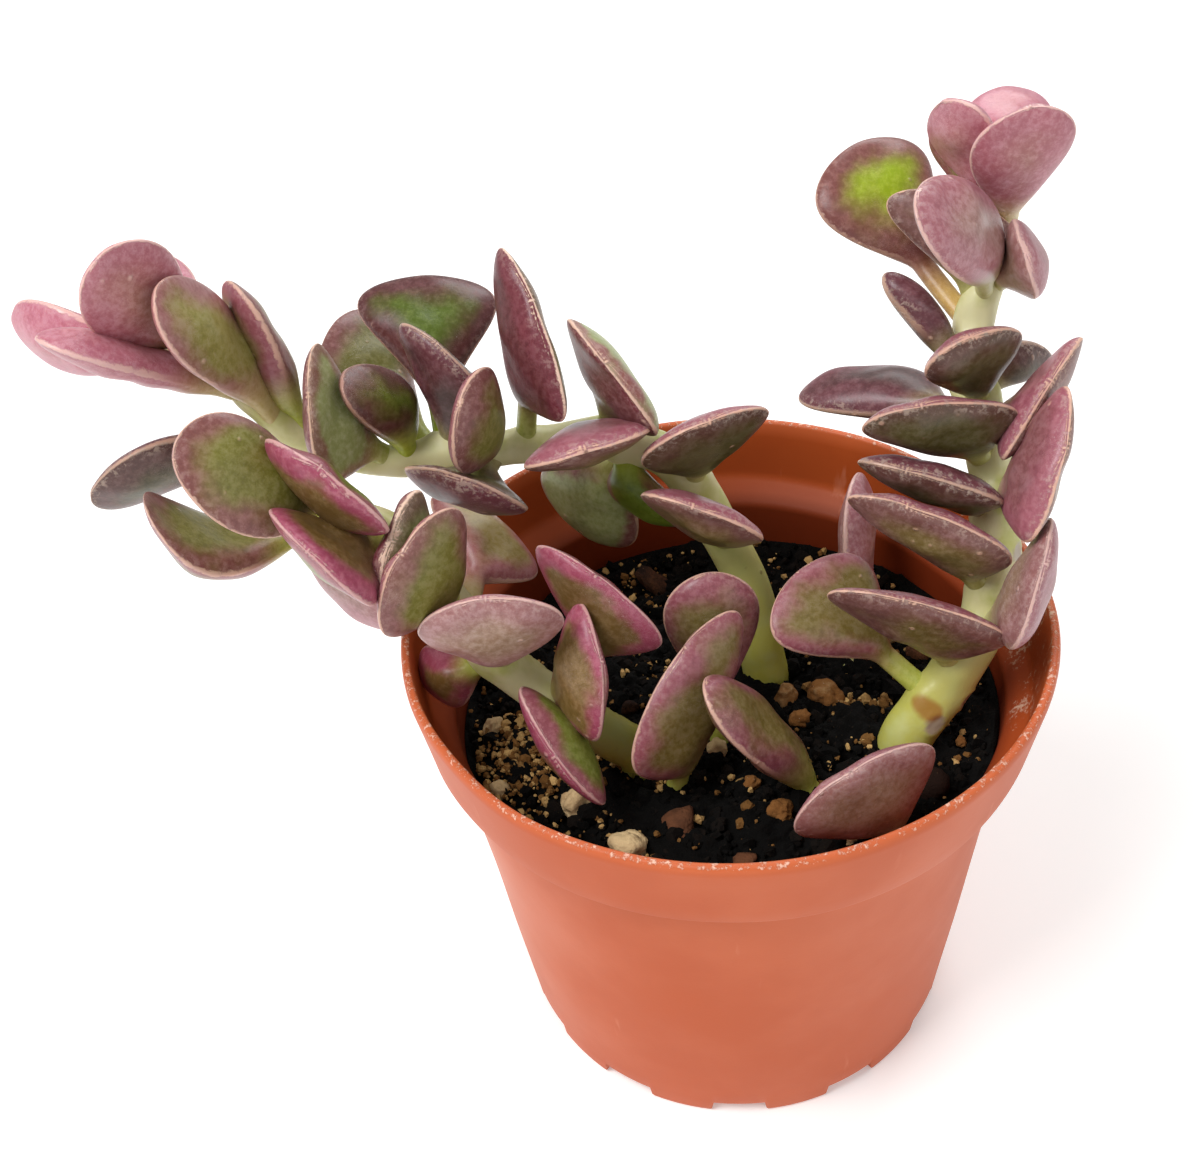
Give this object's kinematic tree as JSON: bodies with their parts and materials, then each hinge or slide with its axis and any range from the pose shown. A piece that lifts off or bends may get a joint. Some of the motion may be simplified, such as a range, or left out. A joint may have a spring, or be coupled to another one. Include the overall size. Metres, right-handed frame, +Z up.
{
  "type": "potted trailing jade",
  "caption": "Succulent with trailing stems of thick fan-shaped leaves, purple at the edge and green inside, growing in gritty soil in a round terracotta-coloured nursery pot.",
  "frame": {"origin": "bottom centre of the whole object's box, on the surface that the pot stands on; the pot's axis is about 25 mm towards +X of it and 4 mm towards -Y", "axes": "+Z up along the pot's axis, +X from the far-left shoot towards the pot, along the longest side, +Y away from the viewer"},
  "size_m": [0.1604, 0.1134, 0.154],
  "materials": {
    "pot_plastic": "satin moulded plastic, scuffed pale at the rim",
    "soil": "loose dark soil with grit and pumice, fully matt",
    "stem": "smooth pale green skin with old leaf scars",
    "right_leaf": "waxy satin skin, purple with a green centre and a pale margin",
    "back_leaf": "waxy satin skin, olive green with purple bands and a pale margin",
    "left_leaf": "waxy satin skin, silvery green with purple bands and a pale margin"
  },
  "bodies": {
    "root": {"pot": "pot_plastic", "soil": "soil", "right_stem": "stem", "back_stem": "stem", "left_stem": "stem", "right_leaf_01": "right_leaf", "right_leaf_02": "right_leaf", "right_leaf_03": "right_leaf", "right_leaf_04": "right_leaf", "right_leaf_05": "right_leaf", "right_leaf_06": "right_leaf", "right_leaf_07": "right_leaf", "right_leaf_08": "right_leaf", "right_leaf_09": "right_leaf", "right_leaf_10": "right_leaf", "right_leaf_11": "right_leaf", "right_leaf_12": "right_leaf", "right_leaf_13": "right_leaf", "right_leaf_14": "right_leaf", "right_leaf_15": "right_leaf", "right_leaf_16": "right_leaf", "right_leaf_17": "right_leaf", "right_leaf_18": "right_leaf", "right_leaf_19": "right_leaf", "back_leaf_01": "back_leaf", "back_leaf_02": "back_leaf", "back_leaf_03": "back_leaf", "back_leaf_04": "back_leaf", "back_leaf_05": "back_leaf", "back_leaf_06": "back_leaf", "back_leaf_07": "back_leaf", "back_leaf_08": "back_leaf", "back_leaf_09": "back_leaf", "back_leaf_10": "back_leaf", "back_leaf_11": "back_leaf", "back_leaf_12": "back_leaf", "back_leaf_13": "back_leaf", "back_leaf_14": "back_leaf", "back_leaf_15": "back_leaf", "back_leaf_16": "back_leaf", "back_leaf_17": "back_leaf", "back_leaf_18": "back_leaf", "back_leaf_19": "back_leaf", "back_leaf_20": "back_leaf", "back_leaf_21": "back_leaf", "left_leaf_01": "left_leaf", "left_leaf_02": "left_leaf", "left_leaf_03": "left_leaf", "left_leaf_04": "left_leaf", "left_leaf_05": "left_leaf", "left_leaf_06": "left_leaf", "left_leaf_07": "left_leaf", "left_leaf_08": "left_leaf", "left_leaf_09": "left_leaf", "left_leaf_10": "left_leaf", "left_leaf_11": "left_leaf", "left_leaf_12": "left_leaf", "left_leaf_13": "left_leaf", "left_leaf_14": "left_leaf", "left_leaf_15": "left_leaf"}
  },
  "joints": []
}
